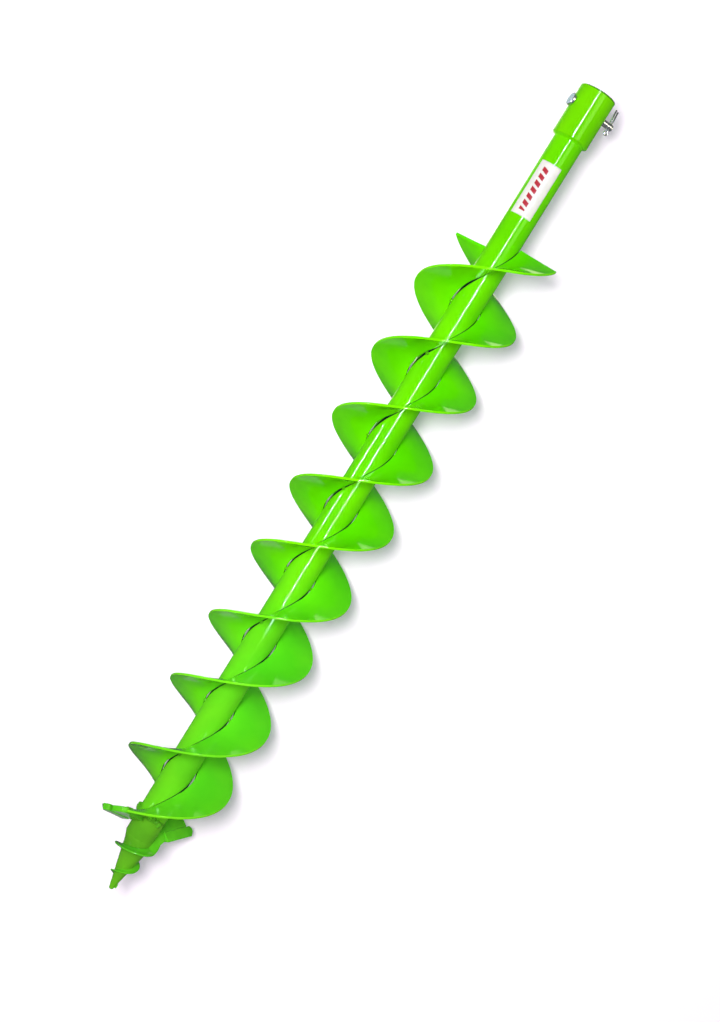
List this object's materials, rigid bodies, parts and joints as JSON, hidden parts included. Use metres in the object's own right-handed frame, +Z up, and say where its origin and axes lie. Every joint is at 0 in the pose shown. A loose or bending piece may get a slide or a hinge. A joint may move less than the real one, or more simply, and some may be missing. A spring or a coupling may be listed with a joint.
{
  "type": "auger bit",
  "caption": "Double-flighted auger bit with a tubular shaft, pinned drive socket, cutting teeth and a screw pilot; a cotter keeps the drive pin in.",
  "frame": {"origin": "centre of the drive socket's mouth, in the plane of its top face", "axes": "+Z up the shaft and out of the socket; +X along the drive pin towards its cotter pin"},
  "size_m": [0.1037, 0.1, 0.798],
  "materials": {
    "green_paint": "gloss powder coat",
    "zinc_steel": "bright zinc plate",
    "label": "satin film"
  },
  "bodies": {
    "auger": {"drive_socket": "green_paint", "socket_weld": "green_paint", "shaft_tube": "green_paint", "flight_a_1": "green_paint", "flight_a_2": "green_paint", "flight_a_3": "green_paint", "flight_a_4": "green_paint", "flight_a_5": "green_paint", "flight_b_1": "green_paint", "flight_b_2": "green_paint", "flight_b_3": "green_paint", "flight_b_4": "green_paint", "flight_b_5": "green_paint", "tack_welds_a": "green_paint", "tack_welds_b": "green_paint", "cutter_holder_a": "green_paint", "cutter_holder_b": "green_paint", "cutting_tooth_a": "green_paint", "cutting_tooth_b": "green_paint", "cutter_weld_a": "green_paint", "cutter_weld_b": "green_paint", "pilot_cone": "green_paint", "pilot_thread": "green_paint", "size_label": "label"},
    "pin": {"drive_pin": "zinc_steel"},
    "cotter": {"cotter_pin": "zinc_steel"}
  },
  "joints": [
    {"name": "pin_turn", "type": "hinge", "parent": "auger", "child": "pin", "pos_m": [0, 0, -0.0166], "axis": [1, 0, 0], "continuous": true},
    {"name": "cotter_pull", "type": "slide", "parent": "pin", "child": "cotter", "axis": [0, -0.1392, -0.9903], "range_m": [0, 0.014]}
  ]
}
